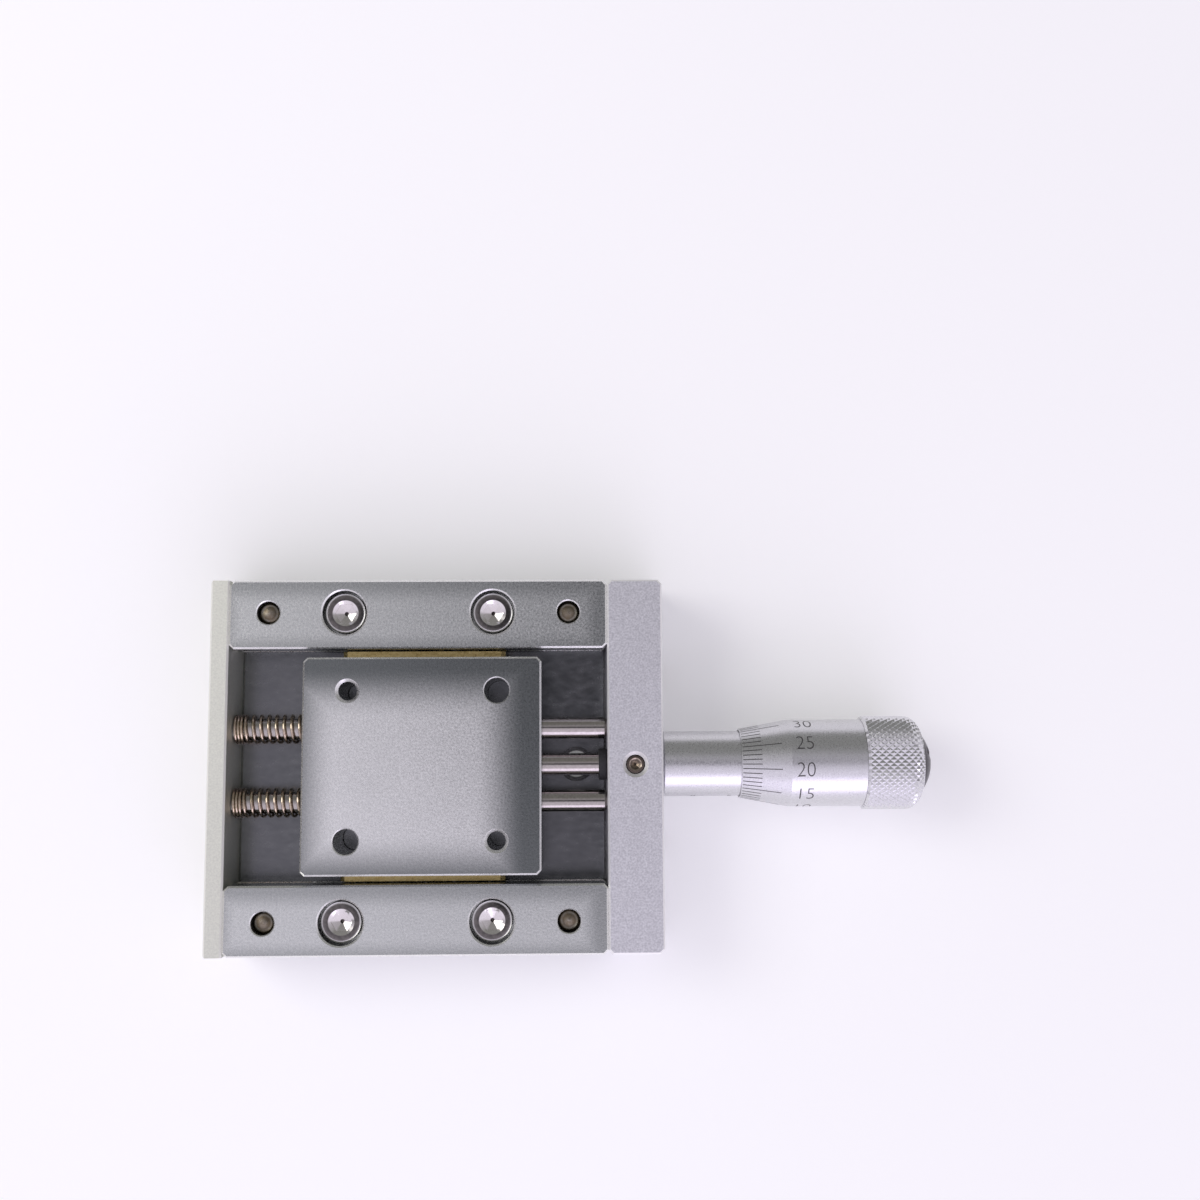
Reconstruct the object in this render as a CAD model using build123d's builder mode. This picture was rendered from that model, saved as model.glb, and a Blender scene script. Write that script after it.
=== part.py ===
from build123d import *
import math
import os

# Manual translation stage: a carriage on two crossed roller ways, held against the
# spindle of a micrometer head by two return springs on guide rods.
# Millimetres. Travel is along X with the micrometer at +X, +Z is up, and the origin is
# the centre of the base plate's underside. The carriage stands in mid travel.

# Frame
base_thickness = 5.0
rail_width = 9.3
rail_height = 8.5
end_plate_thickness = 2.5
block_thickness = 7.5
axis_depth = 5.0            # drive axis and ways, under the top of the rails
edge_break = 0.25
corner_break = 0.6
floor_bevel = 0.35

# Carriage
hole_pitch = 20.0           # square pattern in the carriage and under the base
hole_end_margin = 6.0       # from its holes to the ends of the carriage
hole_side_margin = 4.5      # from its holes to the sides of the carriage
travel = 13.0               # half of it to each side of mid travel
spring_reserve = 3.6        # from the end plate to the carriage at full travel
nose_reserve = 2.4          # from the micrometer block to the carriage at full travel
carriage_proud = 0.5        # top of the carriage above the rails
floor_gap = 0.5
way_gap = 1.2               # between the faces of a rail and the carriage

# Crossed roller ways
roller_diameter = 2.0
roller_length = 1.9
roller_count = 5
roller_pitch = 4.2
roller_lean = 45.0
roller_clearance = 0.03
vee_relief_width = 0.4
vee_relief_depth = 0.3
cage_x = 0.5
cage_thickness = 0.8
cage_height = 3.6
cage_end_margin = 2.7       # from the centre of the last roller to the end of the cage
window_clearance = 0.06

# Guide rods and return springs
rod_diameter = 3.0
rod_offset = 5.0            # from the drive axis
rod_bore_clearance = 0.2
rod_spigot_diameter = 2.2
rod_spigot_length = 4.0
rod_end_break = 0.3
spring_diameter = 4.1
spring_wire = 0.4
spring_pitch = 1.07
spring_closed_pitch = 0.43
spring_closed_turns = 3
spring_steps = 12           # straight steps in a turn
pocket_clearance = 0.3
pocket_depth = 3.0
seat_clearance = 0.02       # between parts that are pressed or bear on each other

# Screws: radius of the shank, head and socket sizes
m3_radius = 1.5
m3_head_radius = 2.75
m3_head_height = 3.0
m3_socket = 2.5
m3_flat_radius = 2.8
m3_flat_socket = 2.0
m25_radius = 1.25
m25_socket = 1.3
m2_radius = 1.0
m2_head_radius = 1.9
m2_head_height = 2.0
m2_socket = 1.5
m2_flat_socket = 1.3
socket_depth = 1.3
thread_clearance = 0.05
m3_tap_radius = 1.25
m3_clear_radius = 1.7
m2_clear_radius = 1.2
head_clearance = 0.25
countersink_angle = 90.0
rail_screw_pitch = 20.0
rail_screw_inset = 4.4      # screw line to the outer face of the rail
rail_screw_sink = 1.0       # head top under the top of the rail
rail_screw_reach = 3.5      # into the base
base_screw_inset = 5.25     # to the end of the base
base_screw_sink = 0.9       # screw tip under the top of the rail
tip_break = 0.35
end_screw_base_y = 12.0     # the lower screws stand half way up the base
end_screw_rail_sink = 3.3   # upper screws, under the top of the rails
end_screw_reach = 3.0       # into the base and the rails
block_head_sink = 0.3
clamp_screw_length = 2.0
hole_break = 0.25
counterbore_break = 0.2
tip_hole_break = 0.2
tap_break = 0.4
clear_break = 0.15
clamp_hole_break = 0.5
base_tap_depth = 4.0
floor_hole_radius = 1.85
floor_hole_break = 0.55
floor_hole_inset = 4.15     # from the end of the base on the micrometer side

# Micrometer head
spindle_diameter = 3.0
spindle_screw_diameter = 5.0
running_clearance = 0.05
screw_clearance = 0.1
spindle_tip_break = 0.3
shank_diameter = 5.0
sleeve_diameter = 8.9
sleeve_length = 21.0        # outside the block
sleeve_break = 0.25
guide_reserve = 0.5         # from the close bore of the sleeve to the spindle screw at full travel
nut_land_length = 3.3
nut_land_step = 0.75        # depth of the land for the nut, in the barrel
nut_inset = 0.15            # outside of the nut, inside the barrel's
nut_length = 3.0
seal_diameter = 4.3
seal_length = 1.1
anvil_diameter = 4.0
anvil_length = 3.0
anvil_recess = 1.0
thimble_reserve = 4.15      # sleeve still in view between block and thimble at full travel
thimble_clearance = 0.1
thimble_lip = 0.15
cone_length = 6.6
thimble_wall = 1.4
thimble_length = 16.85
thimble_spigot_wall = 0.65
thimble_spigot_length = 2.0
grip_step = 0.5             # grip proud of the thimble
grip_length = 8.0
grip_round = 2.05
grip_break = 0.3
screw_reserve = 3.0         # spindle screw still inside the sleeve at full travel
spindle_taper_length = 3.5
spindle_end_diameter = 4.0
cap_margin = 0.05           # to the rounded edge of the grip
cap_height = 1.7
cap_slot_width = 1.1
cap_slot_depth = 1.05
cap_slot_turn = -30.0
cap_stud_reach = 3.0        # into the spindle

# Places that follow from the sizes above
carriage_length = hole_pitch + 2 * hole_end_margin
carriage_width = hole_pitch + 2 * hole_side_margin
carriage_x = (spring_reserve - nose_reserve) / 2
base_length = carriage_length + travel + spring_reserve + nose_reserve
channel_width = carriage_width + 2 * way_gap
frame_width = channel_width + 2 * rail_width
half_base = base_length / 2
half_width = frame_width / 2
rail_top = base_thickness + rail_height
axis_z = rail_top - axis_depth
carriage_bottom = base_thickness + floor_gap
carriage_top = rail_top + carriage_proud
carriage_height = carriage_top - carriage_bottom
carriage_left = carriage_x - carriage_length / 2
carriage_right = carriage_x + carriage_length / 2
way_y = (channel_width - way_gap) / 2
vee_reach = math.sqrt(2) * (roller_diameter / 2 + roller_clearance)
screw_line = half_width - rail_screw_inset
base_screw_x = half_base - base_screw_inset
lower_screw_z = base_thickness / 2
upper_screw_z = rail_top - end_screw_rail_sink
block_outer = half_base + block_thickness
end_outer = half_base + end_plate_thickness
counterbore_depth = rail_screw_sink + m3_head_height
tip_x = carriage_right - anvil_recess + seat_clearance
sleeve_end = block_outer + sleeve_length
nut_land_start = sleeve_end - nut_land_length
thimble_start = block_outer + travel / 2 + thimble_reserve
screw_start = sleeve_end - travel / 2 - screw_reserve
guide_end = screw_start - travel / 2 - guide_reserve
grip_start = thimble_start + thimble_length
nut_land_radius = sleeve_diameter / 2 - nut_land_step
thimble_bore_radius = sleeve_diameter / 2 + thimble_clearance
thimble_radius = thimble_bore_radius + thimble_wall
thimble_spigot_radius = thimble_bore_radius + thimble_spigot_wall
grip_radius = thimble_radius + grip_step
cap_radius = grip_radius - grip_round - cap_margin
cavity_end = grip_start + thimble_spigot_length
grip_end = grip_start + grip_length
taper_end = cavity_end + spindle_taper_length
drive_axis = Axis((0, 0, axis_z), (1, 0, 0))
drive_plane = Plane(origin=(0, 0, axis_z), x_dir=(1, 0, 0), z_dir=(0, -1, 0))
sides = {"front": -1, "rear": 1}

os.makedirs("parts", exist_ok=True)


def save(piece, name):
    piece.part.label = name
    export_step(piece.part, f"parts/{name}.step")


def corners(x, y):
    return [(i * x, j * y) for i in (-1, 1) for j in (-1, 1)]


# Draws a plan outline with cut corners and raises it from bottom to top.
def plate(length, width, bottom, top, corner, centre=(0, 0)):
    with BuildSketch(Plane.XY.offset(bottom)) as outline:
        with Locations(centre):
            Rectangle(length, width)
        chamfer(outline.vertices(), corner)
    extrude(outline.sketch, amount=top - bottom)


# Cuts one 90 degree vee with its relief slot along X. Both vees of a way spring from the
# middle of the gap, so that the rail and the carriage hold the rollers between them.
def cut_vee(side, outward):
    towards = side * outward
    middle = side * way_y
    half_slot = vee_relief_width / 2
    slot_start = middle + towards * (vee_reach - half_slot)
    slot_end = middle + towards * (vee_reach + vee_relief_depth)
    with BuildSketch(Plane.YZ.offset(-half_base)) as vee:
        with BuildLine():
            Polyline(
                (middle, axis_z + vee_reach),
                (slot_start, axis_z + half_slot),
                (slot_end, axis_z + half_slot),
                (slot_end, axis_z - half_slot),
                (slot_start, axis_z - half_slot),
                (middle, axis_z - vee_reach),
                close=True,
            )
        make_face()
    extrude(vee.sketch, amount=base_length, mode=Mode.SUBTRACT)


# Cuts round holes along X from the plane at x, for a reach that may be negative.
def bore_along_x(x, places, radius, reach):
    with BuildSketch(Plane.YZ.offset(x)) as mouths:
        with Locations(*places):
            Circle(radius)
    extrude(mouths.sketch, amount=reach, mode=Mode.SUBTRACT)


# Drills a hole down from the current locations, with a conical mouth.
def sunk_hole(radius, mouth_radius, depth):
    CounterSinkHole(radius, mouth_radius, depth, countersink_angle)


# Turns a closed half profile of (x, radius) points about the drive axis.
def turn(points):
    with BuildSketch(drive_plane) as profile:
        with BuildLine():
            Polyline(*points, close=True)
        make_face()
    revolve(profile.sketch, axis=drive_axis)


def cut_socket(socket, top, centre=(0, 0)):
    with BuildSketch(Plane.XY.offset(top)) as hexagon:
        with Locations(centre):
            RegularPolygon(socket / 2, 6, major_radius=False)
    extrude(hexagon.sketch, amount=-socket_depth, mode=Mode.SUBTRACT)


# Cap screw with the seat of its head at z = 0 and its shank down.
def cap_screw(radius, length, head_radius, head_height, socket):
    with BuildPart() as screw:
        Cylinder(radius, length, align=(Align.CENTER, Align.CENTER, Align.MAX))
        Cylinder(head_radius, head_height, align=(Align.CENTER, Align.CENTER, Align.MIN))
        cut_socket(socket, head_height)
    return screw.part


# Flat head screw with the top of its head at z = 0 and its shank down.
def flat_screw(radius, length, head_radius, socket):
    with BuildPart() as screw:
        Cylinder(radius, length, align=(Align.CENTER, Align.CENTER, Align.MAX))
        chamfer(screw.edges().sort_by(Axis.Z)[0], tip_break)
        Cone(radius, head_radius, head_radius - radius, align=(Align.CENTER, Align.CENTER, Align.MAX))
        cut_socket(socket, 0)
    return screw.part


# Places of the screws: rail and base screws in plan, end screws on the YZ plane
rail_screw_places = corners(rail_screw_pitch / 2, screw_line)
base_screw_places = corners(base_screw_x, screw_line)
base_end_places = [(-end_screw_base_y, lower_screw_z), (end_screw_base_y, lower_screw_z)]
rail_end_places = [(-screw_line, upper_screw_z), (screw_line, upper_screw_z)]
end_screw_places = base_end_places + rail_end_places
rod_places = [(-rod_offset, axis_z), (rod_offset, axis_z)]
end_hole_reach = end_screw_reach + hole_break

# Base plate
with BuildPart() as base_plate:
    plate(base_length, frame_width, 0, base_thickness, edge_break)
    chamfer(base_plate.faces().sort_by(Axis.Z)[-1].edges().filter_by(Axis.Y), floor_bevel)
    chamfer(base_plate.faces().sort_by(Axis.Z)[0].edges(), edge_break)
    with BuildSketch(Plane.XY):
        with Locations(*rail_screw_places):
            Circle(m3_radius + thread_clearance)
    extrude(amount=base_thickness, mode=Mode.SUBTRACT)
    with Locations(*[Location((x, y, 0), (180, 0, 0)) for x, y in base_screw_places]):
        sunk_hole(m3_clear_radius, m3_flat_radius + thread_clearance, base_thickness)
    with BuildSketch(Plane.XY):
        with Locations(*corners(hole_pitch / 2, hole_pitch / 2)):
            Circle(m3_tap_radius)
    extrude(amount=base_tap_depth, mode=Mode.SUBTRACT)
    with Locations((half_base - floor_hole_inset, 0, base_thickness)):
        sunk_hole(floor_hole_radius, floor_hole_radius + floor_hole_break, base_thickness)
    for end in (-1, 1):
        bore_along_x(end * half_base, base_end_places, m2_radius + thread_clearance, -end * end_hole_reach)
save(base_plate, "base_plate")

# Rails
for name, side in sides.items():
    with BuildPart() as rail:
        rail_middle = (0, side * (half_width - rail_width / 2))
        plate(base_length, rail_width, base_thickness, rail_top, corner_break, rail_middle)
        chamfer(rail.faces().sort_by(Axis.Z)[-1].edges(), edge_break)
        cut_vee(side, 1)
        with Locations(*[(x, y, rail_top) for x, y in rail_screw_places if y * side > 0]):
            CounterBoreHole(m3_clear_radius, m3_head_radius + head_clearance, counterbore_depth, rail_height)
        counterbore_mouths = rail.faces().sort_by(Axis.Z)[-1].inner_wires()
        chamfer([mouth.edges() for mouth in counterbore_mouths], counterbore_break)
        with Locations(*[(x, y, rail_top) for x, y in base_screw_places if y * side > 0]):
            sunk_hole(m3_radius + thread_clearance, m3_radius + tip_hole_break, rail_height)
        for end in (-1, 1):
            place = [(y, z) for y, z in rail_end_places if y * side > 0]
            bore_along_x(end * half_base, place, m2_radius + thread_clearance, -end * end_hole_reach)
    save(rail, f"rail_{name}")

# End plate, with the guide rods and its own countersunk screws through it
with BuildPart() as end_plate:
    with Locations((-end_outer, 0, 0)):
        Box(end_plate_thickness, frame_width, rail_top, align=(Align.MIN, Align.CENTER, Align.MIN))
    chamfer(end_plate.faces().sort_by(Axis.X)[0].edges(), edge_break)
    chamfer(end_plate.faces().sort_by(Axis.Z)[-1].edges().sort_by(Axis.X)[-1], edge_break)
    bore_along_x(-end_outer, rod_places, rod_diameter / 2 + seat_clearance, end_plate_thickness)
    with Locations(*[Location((-end_outer, y, z), (0, -90, 0)) for y, z in end_screw_places]):
        sunk_hole(m2_clear_radius, m2_head_radius + thread_clearance, end_plate_thickness)
save(end_plate, "end_plate")

# Micrometer block, with the bore of the sleeve, its clamp screw and counterbored screws
with BuildPart() as micrometer_block:
    block_centre = (half_base + block_thickness / 2, 0)
    plate(block_thickness, frame_width, 0, rail_top, corner_break, block_centre)
    chamfer(micrometer_block.faces().sort_by(Axis.Z)[-1].edges(), edge_break)
    chamfer(micrometer_block.faces().sort_by(Axis.Z)[0].edges(), edge_break)
    bore_along_x(half_base, [(0, axis_z)], shank_diameter / 2 + seat_clearance, block_thickness)
    spigot_radius = rod_spigot_diameter / 2 + seat_clearance
    bore_along_x(half_base, rod_places, spigot_radius, rod_spigot_length + hole_break)
    bore_along_x(half_base, end_screw_places, m2_clear_radius, block_thickness)
    head_room = m2_head_radius + head_clearance
    bore_along_x(block_outer, end_screw_places, head_room, -(m2_head_height + block_head_sink))
    with Locations((*block_centre, rail_top)):
        sunk_hole(m25_radius + thread_clearance, m25_radius + clamp_hole_break, axis_depth)
save(micrometer_block, "micrometer_block")

# Guide rods, seated through the end plate and on a turned spigot in the block
for name, side in sides.items():
    with BuildPart() as guide_rod:
        with Locations(Location((-end_outer, side * rod_offset, axis_z), (0, 90, 0))):
            rod_body = end_outer + half_base - seat_clearance
            Cylinder(rod_diameter / 2, rod_body, align=(Align.CENTER, Align.CENTER, Align.MIN))
        chamfer(guide_rod.edges().sort_by(Axis.X)[-1], rod_end_break)
        with Locations(Location((half_base - rod_end_break, side * rod_offset, axis_z), (0, 90, 0))):
            spigot = rod_spigot_length + rod_end_break
            Cylinder(rod_spigot_diameter / 2, spigot, align=(Align.CENTER, Align.CENTER, Align.MIN))
    save(guide_rod, f"guide_rod_{name}")

# Return springs: closed coils at each end and open coils between, on the guide rods.
# The wire has six flats and a turn is drawn in straight steps, which keeps its facets few.
spring_left = -half_base + spring_wire / 2 + seat_clearance
spring_right = carriage_left + pocket_depth - spring_wire / 2 - seat_clearance
closed_right_turns = spring_closed_turns - 1
closed_length = spring_closed_pitch * (spring_closed_turns + closed_right_turns)
open_length = spring_right - spring_left - closed_length
open_turns = round(open_length / spring_pitch)
turn_pitches = (
    [spring_closed_pitch] * spring_closed_turns
    + [open_length / open_turns] * open_turns
    + [spring_closed_pitch] * closed_right_turns
)
coil_radius = (spring_diameter - spring_wire) / 2
for name, side in sides.items():
    rod_y = side * rod_offset
    coil_points = [(spring_left, rod_y + coil_radius, axis_z)]
    for pitch in turn_pitches:
        for step in range(1, spring_steps + 1):
            angle = 2 * math.pi * step / spring_steps
            step_x = coil_points[-1][0] + pitch / spring_steps
            step_y = rod_y + coil_radius * math.cos(angle)
            coil_points.append((step_x, step_y, axis_z + coil_radius * math.sin(angle)))
    with BuildPart() as return_spring:
        with BuildLine() as coil:
            Polyline(*coil_points)
        path = coil.wires()[0]
        with BuildSketch(Plane(origin=path @ 0, x_dir=(0, 1, 0), z_dir=path % 0)):
            RegularPolygon(spring_wire / 2, 6)
        sweep(path=path, transition=Transition.RIGHT)
    save(return_spring, f"return_spring_{name}")

# Carriage, with its vees, rod bores, spring pockets, anvil seat and square hole pattern
with BuildPart() as carriage:
    carriage_centre = (carriage_x, 0)
    plate(carriage_length, carriage_width, carriage_bottom, carriage_top, corner_break, carriage_centre)
    chamfer(carriage.faces().sort_by(Axis.Z)[-1].edges(), edge_break)
    chamfer(carriage.faces().sort_by(Axis.Z)[0].edges(), edge_break)
    for side in sides.values():
        cut_vee(side, -1)
    bore_along_x(carriage_left, rod_places, rod_diameter / 2 + rod_bore_clearance, carriage_length)
    bore_along_x(carriage_left, rod_places, spring_diameter / 2 + pocket_clearance, pocket_depth)
    anvil_seat = anvil_diameter / 2 + seat_clearance
    bore_along_x(carriage_right, [(0, axis_z)], anvil_seat, -(anvil_recess + anvil_length))
    tapped_places = [(-1, 1), (1, -1)]
    for i, j in corners(1, 1):
        tapped = (i, j) in tapped_places
        radius, flare = (m3_tap_radius, tap_break) if tapped else (m3_clear_radius, clear_break)
        with Locations((carriage_x + i * hole_pitch / 2, j * hole_pitch / 2, carriage_top)):
            sunk_hole(radius, radius + flare, carriage_height)
save(carriage, "carriage")

# Hardened anvil that the spindle bears on, sunk in the carriage
with BuildPart() as anvil:
    anvil_face = carriage_right - anvil_recess
    anvil_back = anvil_face - anvil_length
    radius = anvil_diameter / 2
    turn([(anvil_back, 0), (anvil_back, radius), (anvil_face, radius), (anvil_face, 0)])
save(anvil, "anvil")

# Crossed rollers, leaning in turn to each side, and their cages
roller_leans = [(i - (roller_count - 1) / 2, roller_lean * (-1) ** (i + 1)) for i in range(roller_count)]
cage_length = (roller_count - 1) * roller_pitch + 2 * cage_end_margin
for name, side in sides.items():
    with BuildPart() as rollers:
        for step, lean in roller_leans:
            with Locations((cage_x + step * roller_pitch, side * way_y, axis_z)):
                Cylinder(roller_diameter / 2, roller_length, rotation=(lean, 0, 0))
    save(rollers, f"rollers_{name}")

    with BuildPart() as cage:
        with Locations((cage_x, side * way_y, axis_z)):
            Box(cage_length, cage_thickness, cage_height)
        chamfer(cage.edges().filter_by(Axis.Y), corner_break)
        for step, lean in roller_leans:
            with Locations((cage_x + step * roller_pitch, side * way_y, axis_z)):
                window = roller_length + 2 * window_clearance
                Cylinder(
                    roller_diameter / 2 + window_clearance,
                    window,
                    rotation=(lean, 0, 0),
                    mode=Mode.SUBTRACT,
                )
    save(cage, f"cage_{name}")

# Sleeve: shank clamped in the block, plain barrel, and a land for the adjusting nut.
# Threads are drawn at their outer diameter.
with BuildPart() as micrometer_sleeve:
    shank = shank_diameter / 2
    barrel = sleeve_diameter / 2
    guide = spindle_diameter / 2 + running_clearance
    screw_bore = spindle_screw_diameter / 2 + screw_clearance
    turn(
        [
            (half_base, guide),
            (half_base, shank),
            (block_outer + seat_clearance, shank),
            (block_outer + seat_clearance, barrel - sleeve_break),
            (block_outer + seat_clearance + sleeve_break, barrel),
            (nut_land_start, barrel),
            (nut_land_start, nut_land_radius),
            (sleeve_end, nut_land_radius),
            (sleeve_end, screw_bore),
            (guide_end, screw_bore),
            (guide_end, guide),
        ]
    )
save(micrometer_sleeve, "micrometer_sleeve")

with BuildPart() as adjusting_nut:
    nut_start = nut_land_start + seat_clearance
    nut_end = nut_start + nut_length
    inner = nut_land_radius + seat_clearance
    outer = sleeve_diameter / 2 - nut_inset
    turn([(nut_start, inner), (nut_start, outer), (nut_end, outer), (nut_end, inner)])
    chamfer(adjusting_nut.edges().filter_by(GeomType.CIRCLE).sort_by(SortBy.RADIUS)[-2:], edge_break)
save(adjusting_nut, "adjusting_nut")

# Dark seal round the spindle, against the end of the shank
with BuildPart() as spindle_seal:
    seal_end = half_base - seat_clearance
    turn(
        [
            (seal_end - seal_length, guide),
            (seal_end - seal_length, seal_diameter / 2),
            (seal_end, seal_diameter / 2),
            (seal_end, guide),
        ]
    )
save(spindle_seal, "spindle_seal")

# Spindle: plain nose, screw, and a taper that the grip is drawn onto
with BuildPart() as spindle:
    nose = spindle_diameter / 2
    screw = spindle_screw_diameter / 2
    turn(
        [
            (tip_x, 0),
            (tip_x, nose - spindle_tip_break),
            (tip_x + spindle_tip_break, nose),
            (screw_start, nose),
            (screw_start, screw),
            (cavity_end, screw),
            (taper_end, spindle_end_diameter / 2),
            (taper_end, 0),
        ]
    )
    stud_hole = m25_radius + thread_clearance
    bore_along_x(taper_end, [(0, axis_z)], stud_hole, -(cap_stud_reach + hole_break))
save(spindle, "spindle")

# Thimble: a thin edge over the sleeve, the graduated cone, the cylinder and a spigot
with BuildPart() as thimble:
    turn(
        [
            (thimble_start, thimble_bore_radius),
            (thimble_start, thimble_bore_radius + thimble_lip),
            (thimble_start + cone_length, thimble_radius),
            (grip_start - seat_clearance, thimble_radius),
            (grip_start - seat_clearance, thimble_spigot_radius),
            (cavity_end - seat_clearance, thimble_spigot_radius),
            (cavity_end - seat_clearance, thimble_bore_radius),
        ]
    )
save(thimble, "thimble")

# Grip: counterbored for the thimble and tapered inside for the spindle
with BuildPart() as grip:
    spigot_seat = thimble_spigot_radius + seat_clearance
    taper_mouth = spindle_screw_diameter / 2 + seat_clearance
    taper_foot = spindle_end_diameter / 2 + seat_clearance
    stud_clear = m25_radius + running_clearance
    turn(
        [
            (grip_start, spigot_seat),
            (grip_start, grip_radius - grip_break),
            (grip_start + grip_break, grip_radius),
            (grip_end, grip_radius),
            (grip_end, stud_clear),
            (taper_end + hole_break, stud_clear),
            (taper_end + hole_break, taper_foot),
            (taper_end, taper_foot),
            (cavity_end, taper_mouth),
            (cavity_end, spigot_seat),
        ]
    )
    rear_rim = grip.edges().group_by(Axis.X)[-1].sort_by(SortBy.RADIUS)[-1]
    fillet(rear_rim, grip_round)
save(grip, "grip")

# Cap: a slotted dome on a stud that draws the grip onto the spindle
with BuildPart() as thimble_cap:
    dome_radius = (cap_radius**2 + cap_height**2) / (2 * cap_height)
    cap_seat = grip_end + seat_clearance
    with BuildSketch(drive_plane):
        with BuildLine():
            rim = (cap_seat, cap_radius)
            crown = (cap_seat + cap_height, 0)
            RadiusArc(rim, crown, dome_radius)
            Polyline(crown, (cap_seat, 0), rim)
        make_face()
    revolve(axis=drive_axis)
    slot_plane = Plane(origin=(crown[0], 0, axis_z), x_dir=(0, 1, 0), z_dir=(1, 0, 0))
    with BuildSketch(slot_plane):
        Rectangle(cap_slot_width, 2 * cap_radius, rotation=cap_slot_turn)
    extrude(amount=-cap_slot_depth, mode=Mode.SUBTRACT)
    stud_end = taper_end - cap_stud_reach
    turn([(stud_end, 0), (stud_end, m25_radius), (cap_seat, m25_radius), (cap_seat, 0)])
save(thimble_cap, "thimble_cap")

# Screws
with BuildPart() as rail_screws:
    rail_screw_length = rail_height - counterbore_depth + rail_screw_reach
    with Locations(*[(x, y, rail_top - counterbore_depth + seat_clearance) for x, y in rail_screw_places]):
        add(cap_screw(m3_radius, rail_screw_length, m3_head_radius, m3_head_height, m3_socket))
save(rail_screws, "rail_screws")

with BuildPart() as base_screws:
    base_screw_length = rail_top - base_screw_sink
    with Locations(*[Location((x, y, 0), (180, 0, 0)) for x, y in base_screw_places]):
        add(flat_screw(m3_radius, base_screw_length, m3_flat_radius, m3_flat_socket))
save(base_screws, "base_screws")

with BuildPart() as end_plate_screws:
    end_screw_length = end_plate_thickness + end_screw_reach
    with Locations(*[Location((-end_outer, y, z), (0, -90, 0)) for y, z in end_screw_places]):
        add(flat_screw(m2_radius, end_screw_length, m2_head_radius, m2_flat_socket))
save(end_plate_screws, "end_plate_screws")

with BuildPart() as block_screws:
    head_seat = block_outer - block_head_sink - m2_head_height + seat_clearance
    block_screw_length = head_seat - half_base + end_screw_reach
    with Locations(*[Location((head_seat, y, z), (0, 90, 0)) for y, z in end_screw_places]):
        add(cap_screw(m2_radius, block_screw_length, m2_head_radius, m2_head_height, m2_socket))
save(block_screws, "block_screws")

# Clamp screw, from the top of the block onto the shank
with BuildPart() as clamp_screw:
    clamp_bottom = axis_z + shank_diameter / 2 + seat_clearance
    with Locations((*block_centre, clamp_bottom)):
        Cylinder(m25_radius, clamp_screw_length, align=(Align.CENTER, Align.CENTER, Align.MIN))
    cut_socket(m25_socket, clamp_bottom + clamp_screw_length, block_centre)
save(clamp_screw, "clamp_screw")
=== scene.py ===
import math
import bmesh
import bpy
from mathutils import Matrix, Vector


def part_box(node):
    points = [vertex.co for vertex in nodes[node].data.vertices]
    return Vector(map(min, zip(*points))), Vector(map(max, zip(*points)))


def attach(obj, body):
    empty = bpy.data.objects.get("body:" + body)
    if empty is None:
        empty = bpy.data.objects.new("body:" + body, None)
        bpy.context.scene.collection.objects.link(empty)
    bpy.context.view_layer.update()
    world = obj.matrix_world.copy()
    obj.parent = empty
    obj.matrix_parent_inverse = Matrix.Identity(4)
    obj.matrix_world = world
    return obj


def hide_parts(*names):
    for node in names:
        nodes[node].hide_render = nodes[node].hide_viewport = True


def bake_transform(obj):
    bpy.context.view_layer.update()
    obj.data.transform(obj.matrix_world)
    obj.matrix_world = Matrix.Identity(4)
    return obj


# A manual translation stage: the finish of every surface, round wire springs, a turned and
# knurled micrometer head with its graduations, and screws with their sockets.
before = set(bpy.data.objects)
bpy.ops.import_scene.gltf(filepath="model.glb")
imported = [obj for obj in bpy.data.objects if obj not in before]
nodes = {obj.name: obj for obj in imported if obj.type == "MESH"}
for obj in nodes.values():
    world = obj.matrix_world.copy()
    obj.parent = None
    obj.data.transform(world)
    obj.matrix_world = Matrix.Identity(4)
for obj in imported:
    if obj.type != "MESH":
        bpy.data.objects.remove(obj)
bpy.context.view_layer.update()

mm = 0.001
spindleLow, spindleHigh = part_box("spindle")
axisZ = (spindleLow.z + spindleHigh.z) / 2
full = 2 * math.pi
sides = ("front", "rear")
weld = 0.0005 * mm  # vertices nearer than this become one
cutSlack = 0.0001 * mm


# Node helpers

def newMaterial(name):
    material = bpy.data.materials.new(name)
    material.use_nodes = True
    tree = material.node_tree
    return material, tree, tree.nodes["Principled BSDF"]


def addNode(tree, kind, **values):
    node = tree.nodes.new(kind)
    for key, value in values.items():
        setattr(node, key, value)
    return node


def objectNoise(tree, size, detail=3.0, roughness=0.6, stretch=(1, 1, 1)):
    coords = addNode(tree, "ShaderNodeTexCoord")
    mapping = addNode(tree, "ShaderNodeMapping")
    mapping.inputs["Scale"].default_value = stretch
    noise = addNode(tree, "ShaderNodeTexNoise")
    noise.inputs["Scale"].default_value = 1 / size
    noise.inputs["Detail"].default_value = detail
    noise.inputs["Roughness"].default_value = roughness
    tree.links.new(coords.outputs["Object"], mapping.inputs["Vector"])
    tree.links.new(mapping.outputs["Vector"], noise.inputs["Vector"])
    return noise.outputs["Fac"]


def remap(tree, source, fromLow, fromHigh, toLow, toHigh, curve="LINEAR"):
    node = addNode(tree, "ShaderNodeMapRange", interpolation_type=curve)
    limits = {"From Min": fromLow, "From Max": fromHigh, "To Min": toLow, "To Max": toHigh}
    for key, value in limits.items():
        node.inputs[key].default_value = value
    tree.links.new(source, node.inputs["Value"])
    return node.outputs["Result"]


def mixColour(tree, factor, first, second):
    node = addNode(tree, "ShaderNodeMix", data_type="RGBA")
    tree.links.new(factor, node.inputs["Factor"])
    for socket, value in ((node.inputs[6], first), (node.inputs[7], second)):
        if isinstance(value, tuple):
            socket.default_value = (*value, 1)
        else:
            tree.links.new(value, socket)
    return node.outputs[2]


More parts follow.
